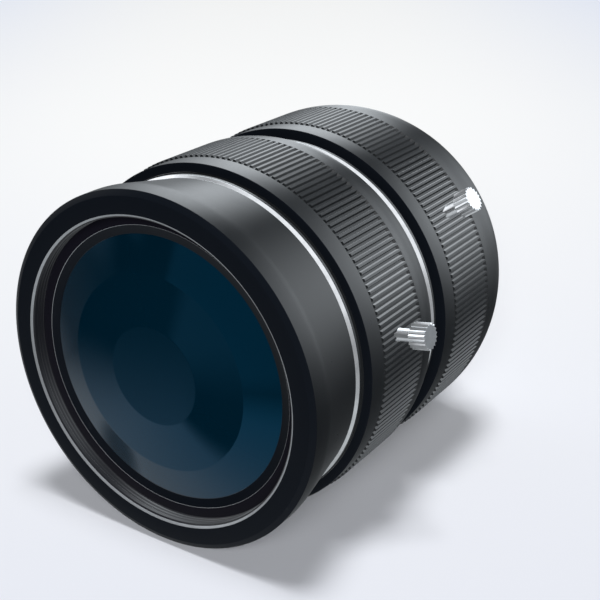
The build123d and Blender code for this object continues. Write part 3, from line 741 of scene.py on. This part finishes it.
# %% The drill
def plug(work, foot, way, section, around=48):
    """Adds a plug, spun round an axis from foot along way, to the mesh being built."""
    side = way.orthogonal().normalized()
    third = way.cross(side)
    rings = []
    for radius, reach in section:
        ring = []
        for step in range(around if radius else 1):
            turn = 2 * pi * step / around
            outwards = side * cos(turn) + third * sin(turn)
            ring.append(work.verts.new((foot + way * reach + outwards * radius) * MM))
        rings.append(ring)
    for one, two in zip(rings, rings[1:]):
        skin(work, one, two, around, smooth=False)


def cut_out(piece, plugs):
    """Cuts every plug (foot, way, section) out of the piece and keeps a plain mesh."""
    work = bmesh.new()
    for foot, way, section in plugs:
        plug(work, foot, way, section)
    cutter = add_object("plugs", mesh_from(work, "plugs"))
    modifier = piece.modifiers.new("plugs", "BOOLEAN")
    modifier.operation = "DIFFERENCE"
    modifier.object = cutter
    made = plain_mesh(piece)
    piece.modifiers.remove(modifier)
    piece.data = made
    bpy.data.objects.remove(cutter)
    sharpen(piece)
    print(piece.name, "cut by", len(plugs), "plugs, now", len(made.polygons), "faces")


# %% Screw holes in the rings
def spoke(angle):
    """The direction away from the lens axis at this angle, from +X towards +Z."""
    return Vector((cos(radians(angle)), 0.0, sin(radians(angle))))


hole_radius = 0.86
hole_section = [(0.0, 20.0), (hole_radius, 20.0), (hole_radius, 24.5), (0.0, 24.5)]
# Where each screw sits: its angle in degrees and its depth behind the front rim
focus_hole = (10.5, 18.95)
iris_hole = (35.0, 38.7)
for pieces, (angle, depth) in (((focus_shell, focus_ribs), focus_hole),
                               ((iris_shell, iris_ribs), iris_hole)):
    for piece in pieces:
        on_axis = Vector((0, depth - FLANGE_DEPTH, 0))
        cut_out(piece, [(on_axis, spoke(angle), hole_section)])

# %% [markdown]
# ## Lock screws
#
# Each ring is locked by a small thumbscrew. Its head is fluted for a fingertip: a round cutter
# leaves hollow flutes with sharp ridges between them. The head is a loft of rings whose radius
# dips at every flute, on a slim neck that widens where it meets its threaded hole.


# %% Fluted screw
# Distance from the lens axis, radius, and how deep the flutes cut there
screw_stations = [
    (21.56, 0.0, 0.0),
    (21.56, 0.72, 0.0),
    (21.64, 0.8, 0.0),
    (25.58, 0.8, 0.0),
    (25.7, 0.92, 0.0),
    (25.7, 1.3, 0.0),
    (25.86, 1.7, 0.28),
    (28.03, 1.7, 0.28),
    (28.05, 1.68, 0.28),
    (28.05, 0.0, 0.0),
]
flute_hollow = 1.1


def thumbscrew(name, angle, depth, finish, flutes=18, around=216):
    """A thumbscrew whose axis points away from the lens axis at this angle."""
    work = bmesh.new()
    out = spoke(angle)
    side = Vector((0.0, 1.0, 0.0))
    third = out.cross(side)
    middle = Vector((0.0, depth_to_y(depth), 0.0))
    rings = []
    for reach, radius, cut in screw_stations:
        foot = middle + out * (reach * MM)
        if radius == 0.0:
            rings.append([work.verts.new(foot)])
            continue
        ring = []
        for step in range(around):
            turn = 2 * pi * step / around
            here = (radius - cut * abs(sin(flutes * turn / 2)) ** flute_hollow) * MM
            ring.append(work.verts.new(
                foot + side * (here * cos(turn)) + third * (here * sin(turn))))
        rings.append(ring)
    for one, two in zip(rings, rings[1:]):
        skin(work, one, two, around)
    mesh = mesh_from(work, name)
    mesh.materials.append(finish)
    piece = add_object(name, mesh)
    sharpen(piece, 32)
    print(name, len(mesh.polygons), "faces")
    return piece


focus_screw = thumbscrew("focus_thumbscrew", *focus_hole, nickel)
iris_screw = thumbscrew("iris_thumbscrew", *iris_hole, nickel)
for piece, node in ((focus_screw, "focus_lock_screw"), (iris_screw, "iris_lock_screw")):
    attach(piece, node)
    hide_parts(node)

# %% [markdown]
# ## Camera mount
#
# The rear of the lens screws into the camera with a 1 inch thread of 32 turns to the inch. It is
# satin chrome, turned in one piece with the plate that three screws hold. The thread is a true
# helix here: the lathe helper asks a small function how deep the thread cuts at every turn.

# %% Section of the camera mount
CHROME = 0
plate_radius = 20.6
mount_radius = 12.7
mount_start = 55.05
mount_run = 3.0
mount_rows = 48
mount_section = [
    (11.0, 51.7, 0.1, CHROME),
    (plate_radius, 51.7, 0.05, CHROME),
    (plate_radius, 53.15, 0.25, CHROME),
    (15.5, 53.15, 0.1, CHROME),
    (15.5, 54.45, 0.15, CHROME),
    (12.05, 54.45, 0.05, CHROME),
    (12.05, 55.0, 0.05, CHROME),
]
for row in range(mount_rows + 1):
    mount_section.append((mount_radius, mount_start + mount_run * row / mount_rows, 0.0, CHROME))
mount_section += [
    (12.3, 58.45, 0.08, CHROME),
    (11.3, 58.45, 0.1, CHROME),
    (11.0, 58.15, 0.1, CHROME),
]
print("mount plate", 2 * plate_radius, "mm across, thread", 2 * mount_radius, "mm")

# %% [markdown]
# The cutter for this thread works from outside, so it takes the groove off the radius. The three
# countersunk seats are then drilled into the plate with the drill helper from before.

# %% Mount thread and screw seats
mount_pitch = 25.4 / 32
mount_groove = 0.45
mount_first, mount_last = 55.1, 58.0


def mount_thread(r, d, turn):
    inside = r == mount_radius and mount_first < d < mount_last
    return r - groove(d, turn, mount_pitch, mount_groove) if inside else r


mount_shell = lathe("camera_mount_shell", mount_section, [chrome], segments=240, cut=mount_thread)
SCREW_COUNT = 3
screw_circle = 18.4
seat_section = [(0.0, 51.5), (0.85, 51.5), (0.85, 52.53), (1.5, 53.18), (1.5, 53.6), (0.0, 53.6)]
seats = []
for number in range(SCREW_COUNT):
    turn = radians(-90 + 360 / SCREW_COUNT * number)
    spot = Vector((screw_circle * cos(turn), -FLANGE_DEPTH, screw_circle * sin(turn)))
    seats.append((spot, Vector((0, 1, 0)), seat_section))
cut_out(mount_shell, seats)
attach(mount_shell, "base")
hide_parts("camera_mount")

# %% [markdown]
# ## Carried-over pieces
#
# The hidden pieces keep their CAD meshes, and each gets the finish of the real one: nickel on
# screws, brass on the helicoid nut, blued steel on the blades, nylon on the pads that press on
# the barrel. Nylon lets a little light in, so it gets some subsurface scattering.

# %% Nylon
nylon, shader = material("natural_nylon")
cloud = shader.noise(shader.place(), 900.0, 3.0)
surface = shader.node(
    "ShaderNodeBsdfPrincipled", None,
    Base_Color=shader.mix(cloud, srgb(226, 222, 208), srgb(238, 235, 224)),
    Roughness=0.45 + (cloud - 0.5) * 0.1, Subsurface_Weight=0.3, Subsurface_Scale=0.0004,
    Normal=turned(shader, 5000.0, 0.08),
)
shader.finish(surface)
print("finish of the pads:", nylon.name)

# %% [markdown]
# Each CAD node arrives with one plain material, and its name tells which slot it stands for. A
# table from slot to finish is enough to dress them all, and what isn't listed is black inside.

# %% Finishes of the CAD nodes
slot_finishes = {
    "bright_metal": nickel,
    "steel": steel,
    "brass": brass,
    "coated_glass": coated,
    "blade_steel": blade_steel,
    "nylon": nylon,
}
# These two lie right under the rings, so they wear the outer black.
under_rings = ("main_barrel", "helicoid_retaining_ring")
for node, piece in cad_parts.items():
    slot_name = piece.data.materials[0].name if piece.data.materials else ""
    finish = slot_finishes.get(slot_name.split(".")[0], black_inside)
    if node in under_rings:
        finish = black
    print(node, slot_name, finish.name)
    piece.data.materials.clear()
    piece.data.materials.append(finish)

# %% [markdown]
# ## What reflections leave out
#
# The photographed lens shows the room in its metal, and hardly any of its own parts. Ray
# visibility does the same here: reflected rays pass every piece of the lens and reach the room.

# %% Ray visibility
lens_pieces = [piece for piece in scene.objects if piece.type == "MESH"]
for piece in lens_pieces:
    piece.visible_glossy = False
print(len(lens_pieces), "pieces are left out of reflections")

# %% [markdown]
# ## Table
#
# The lens lies on a pale table that runs on into the wall, so the floor is one large sheet.
# Photographs of this kind fall off a little to blue towards the edges, and here that falloff
# of light is painted into the floor's colour. Everything else about the floor is plain: it is there
# for the shadow.

# %% Floor
floor_height = -23.85 * MM
floor_half = 3.0
floor_mesh = bpy.data.meshes.new("floor")
floor_mesh.from_pydata(
    [(-floor_half, -floor_half, floor_height), (floor_half, -floor_half, floor_height),
     (floor_half, floor_half, floor_height), (-floor_half, floor_half, floor_height)],
    [], [(0, 1, 2, 3)],
)
floor = add_object("floor", floor_mesh)
floor.visible_glossy = False
print("the floor lies", round(-floor_height / MM, 2), "mm below the optical axis")

# %% [markdown]
# The tone is an oval of painted light: white in the middle where the light pools, dimmer and
# pale blue at its edge. It is measured along and across the line that runs away from the camera,
# in metres from its own centre behind the lens. It reaches farther back than forwards, because
# the table's far part looks short from here.

# %% Painted falloff of light on the table
back_x, back_y = -0.552, 0.834
centre_back, centre_side = 0.2, 0.02
reach_near, reach_far, reach_side = 0.28, 1.2, 0.19
painted_pool_tone = srgb(254, 255, 255)
near_tone = srgb(226, 229, 238)
far_tone = srgb(230, 237, 254)

# The floor's colour carries painted light: a bright pool round the lens, dimmer and bluer outwards.
floor_finish, shader = material("pale_table")
x, y, z = shader.split(shader.place())
along = x * back_x + y * back_y - centre_back
across = x * back_y - y * back_x + centre_side
near = along.math("MINIMUM", 0.0) / reach_near
far = along.larger(0.0) / reach_far
sideways = across / reach_side
away = (near * near + far * far + sideways * sideways) ** 0.5
painted_falloff_tone = shader.mix(along.between(-0.1, 0.2), near_tone, far_tone)
surface = shader.node(
    "ShaderNodeBsdfPrincipled", None,
    Base_Color=shader.mix(away.between(0.15, 1.15), painted_pool_tone, painted_falloff_tone),
    Roughness=0.9, Specular_IOR_Level=0.0,
)
shader.finish(surface)
floor_mesh.materials.append(floor_finish)
print("the pale oval is", 2 * reach_side, "m wide")

# %% [markdown]
# ## Camera
#
# The camera stands in front of the lens, to its right and above, and looks down at it. The
# place and the focal length were solved from the rims of the rings in the photograph.

# %% Camera
camera_data = bpy.data.cameras.new("camera")
camera = add_object("camera", camera_data)
camera_data.lens = 70.8
camera_data.sensor_width = 36.0
camera_data.clip_start = 0.01
camera_data.clip_end = 50.0
camera_spot = [part * MM for part in (85.08, -150.68, 65.42)]
right = Vector((0.8338, 0.55195, 0.0)).normalized()
forward = Vector((-0.5062, 0.76485, -0.3984)).normalized()
up = right.cross(forward).normalized()
forward = up.cross(right).normalized()
camera.matrix_world = Matrix((
    (right.x, up.x, -forward.x, camera_spot[0]),
    (right.y, up.y, -forward.y, camera_spot[1]),
    (right.z, up.z, -forward.z, camera_spot[2]),
    (0, 0, 0, 1),
))
scene.camera = camera
print("camera with a", round(camera_data.lens, 1), "mm lens on a",
      round(camera_data.sensor_width), "mm wide sensor")

# %% [markdown]
# ## The studio as the metal sees it
#
# Black metal has hardly any colour of its own: it shows the room. A product photographer
# hangs long strip lights and dark cards beside the lens, so that the highlights run straight
# along the barrel. Seen from afar such strips fan out from one vanishing point, like rails. Here
# the room is the world, painted by direction: the angle round that point picks the tone from
# one ramp. The angle starts on the left, passes below, the right and overhead, and ends on the
# left again, so the ramp is a list of angles in degrees with the level of light at each.

# %% The fan of strips and cards
world = bpy.data.worlds.new("studio")
scene.world = world
world.cycles.sampling_method = "NONE"
shader = Shader(world)
# In a world, a texture coordinate's first output is the direction that a ray looks in.
x, y, z = shader.split(shader.node("ShaderNodeTexCoord"))
vanishing_x, vanishing_z = -0.506, -0.398
from_x = x - vanishing_x
from_z = z - vanishing_z
fan = from_z.math("ARCTAN2", from_x) / (2 * pi) + 0.5
strips = [
    (-180, 0.6), (-100, 0.3), (-60, 0.27), (-40, 0.21), (-24, 0.13), (-12, 0.08), (-3, 0.07),
    (3, 0.1), (9, 0.2), (15, 0.45), (21, 0.95), (27, 1.5), (33, 1.8), (38, 1.8), (43, 1.5),
    (48, 1.1), (53, 0.7), (58, 0.34), (62, 0.12), (66, 0.1), (70, 0.35), (75, 1.4), (80, 2.8),
    (86, 3.5), (92, 2.9), (99, 1.7), (105, 1.1), (111, 0.6), (120, 0.25), (132, 0.16),
    (148, 0.5), (165, 0.75),
]
brightest = max(level for _, level in strips)
cool_tint = (0.94, 1.0, 1.05)
ramp_stops = []
for angle, level in strips:
    share = level / brightest
    ramp_stops.append(((angle + 180) / 360, tuple(share * part for part in cool_tint) + (1.0,)))
print(len(ramp_stops), "stops, the most that a ramp can hold is 32")

# %% [markdown]
# Real strips aren't even from end to end. Each gain below is 1 where it leaves the strips alone,
# and falls where it dims them; only the middle of the side strip is brightened. Most depend on
# y, which grows towards the camera mount, because every metal face mirrors its own part of a
# strip. The overhead strip also leans a little towards its far end.

# %% Gains along the strips
overhead = fan.between(0.683, 0.70)
lean = overhead * y.between(0.74, 0.82) * 0.0125
fan = fan + lean
tones = shader.node("ShaderNodeValToRGB", dict(stops=ramp_stops), fan)


def dimmed(mask, share):
    """A gain of 1 where the mask is 0, lower by this share where it is 1."""
    return 1.0 - mask * share


towards_back = dimmed(overhead * y.between(0.78, 0.94), 0.78)
towards_left = dimmed(fan.between(0.765, 0.80) * y.between(0.72, 0.80), 0.85)
side_middle = y.between(0.8, 0.84) * (1.0 - y.between(0.85, 0.9)) * 0.85
side_strip = 1.0 + (1.0 - overhead) * (side_middle - y.between(0.88, 0.97) * 0.42)
low_half = 1.0 - fan.between(0.49, 0.52)
low_back = dimmed(low_half * y.between(0.76, 0.84), 0.45)
right_half = fan.between(0.52, 0.55) * (1.0 - fan.between(0.69, 0.72))
from_vanishing = (from_x * from_x + from_z * from_z) ** 0.5
strip_ends = dimmed(right_half * (1.0 - from_vanishing.between(0.3, 0.8)), 0.7)
gains = towards_back * towards_left * side_strip * low_back * strip_ends
metal_light = shader.node("ShaderNodeBackground", None, tones, gains * brightest)
print("brightest strip:", brightest)

# %% [markdown]
# ## The studio as the front glass sees it
#
# The front glass faces the other half of the room. Low down lies the pale table, broken by the
# dark place where the camera stands and by a dark seam. A faint card stands on the left, and a
# dimmer strip of table shows above the rest. A soft disc is the easiest shape to place in a
# world: it is bright where a direction lies within a few degrees of its own.


# %% The table in the glass
def disc(centre, inner, outer):
    """1 within inner degrees of a direction, 0 beyond outer degrees."""
    aim = Vector(centre).normalized()
    near = x * aim.x + y * aim.y + z * aim.z
    return near.between(cos(radians(outer)), cos(radians(inner)))


in_front = (-y).between(0.02, 0.45)
table_below = (-z).between(0.36, 0.61) * (0.5 + 0.24 * in_front)
camera_core, camera_edge = 6.0, 11.5
camera_side = disc((-0.39, -0.77, -0.50), camera_core, camera_edge)
seam = disc((-0.71, -0.06, -0.70), 0.2, 6.0) * 0.75
left_card = disc((-0.81, -0.035, -0.59), 4.0, 13.0) * 0.15
above_table = x.between(-0.55, -0.49) * 0.3 * z.between(-0.5, -0.3)
low_light = table_below * (1.0 - camera_side) * (1.0 - seam)
pale_level = low_light.larger(above_table)
print("the camera hides", 2 * camera_core, "degrees of the table")

# %% [markdown]
# Above the horizon a white sheet hangs in front and makes the polished chamfers shine. A glow
# and a narrow sheet stand on the left, and the table goes on to the right. Where lights
# overlap, the brightest wins, because one card hides the other.

# %% Sheets and glows beside the glass
beside = (y.between(-0.2, 0.2) * 0.7).larger(z.between(-0.1, 0.2))
left_glow = (-x).between(0.78, 0.93) * (0.1 + beside)
left_sheet = (-x).between(0.66, 0.8) * z.between(0.09, 0.2) * (1.0 - y.between(0.45, 0.6))
right_table = x.between(0.2, 0.5) * 0.36
sheet_rise = z.between(0.3, 0.6).larger(z.between(0.02, 0.22) * x.between(-0.1, 0.3))
sheet_band = y.between(-0.8, -0.68) * (0.12 + 0.88 * x.between(-0.55, -0.25))
white_sheet = sheet_rise * sheet_band * 1.1
side_level = right_table.larger(left_card * (1.0 - seam)).larger(left_glow)
side_level = side_level.larger(left_sheet * 1.5)
neutral_level = white_sheet.larger(side_level)

# %% [markdown]
# All of that is one level of light. Its colour is nearly white: a trace cooler where the table
# wins than where a sheet does.

# %% Light of the front half
table_tint = (0.96, 1.0, 1.02, 1.0)
sheet_tint = (0.98, 1.0, 1.02, 1.0)
front_colour = shader.mix(pale_level.above(neutral_level), sheet_tint, table_tint)
front_level = pale_level.larger(neutral_level)
front_light = shader.node("ShaderNodeBackground", None, front_colour, front_level)

# %% [markdown]
# The two halves of the room meet in a soft band just behind the plane of the front glass, and
# the narrow sheet on the left reaches across it. A Mix Shader node joins them.


# %% Where the two halves meet
def choose(factor, one, two):
    """A light that is one where the factor is 0 and two where it is 1."""
    return shader.node("ShaderNodeMixShader", None, factor, one, two)


rear_half = y.between(0.0, 0.25) * (1.0 - left_sheet)
reflected = choose(rear_half, front_light, metal_light)
print("the world has", len(shader.tree.nodes), "nodes so far")

# %% [markdown]
# ## The studio as the table sees it
#
# The table and every dull surface only need a plain soft light, so for rays that aren't
# reflections the world is a dim, even dome. The camera itself sees a pale backdrop behind the
# table. Light Path tells these kinds of ray apart.

# %% The even dome
dome_strength = 0.06
is_glossy = shader.node("ShaderNodeLightPath", out="Is Glossy Ray")
is_camera = shader.node("ShaderNodeLightPath", out="Is Camera Ray")
dome_light = shader.node("ShaderNodeBackground", None, srgb(248, 251, 255), dome_strength)
backdrop = shader.node("ShaderNodeBackground", None, srgb(238, 243, 250), 1.0)
surface = choose(is_camera, choose(is_glossy, dome_light, reflected), backdrop)
shader.finish(surface, "ShaderNodeOutputWorld")
print("dome at", dome_strength, "of white")

# %% [markdown]
# ## Lamps
#
# One softbox hangs almost straight over the lens and throws the short shadow round its foot.
# A second, beside the camera, lifts that shadow, and its own shadow falls out of sight behind
# the lens. Both are hidden from reflections, which the strips already give.


# %% Softboxes
lens_middle = Vector((0.0, -0.027, 0.0))


def softbox(name, place, width, height, power):
    """A rectangular lamp in metres and watts that faces the middle of the lens."""
    lamp = bpy.data.lights.new(name, "AREA")
    lamp.shape = "RECTANGLE"
    lamp.size = width
    lamp.size_y = height
    lamp.energy = power
    piece = add_object(name, lamp)
    piece.location = place
    aim = lens_middle - Vector(place)
    piece.rotation_euler = aim.to_track_quat("-Z", "Y").to_euler()
    piece.visible_glossy = False
    print(name, round(piece.location.length, 2), "m away,", power, "W")


softbox("overhead_softbox", (0.19, -0.21, 2.99), 0.79, 0.76, 58.0)
softbox("camera_softbox", (1.42, -2.24, 1.44), 1.3, 1.2, 67.0)
scene.view_settings.view_transform = "Standard"
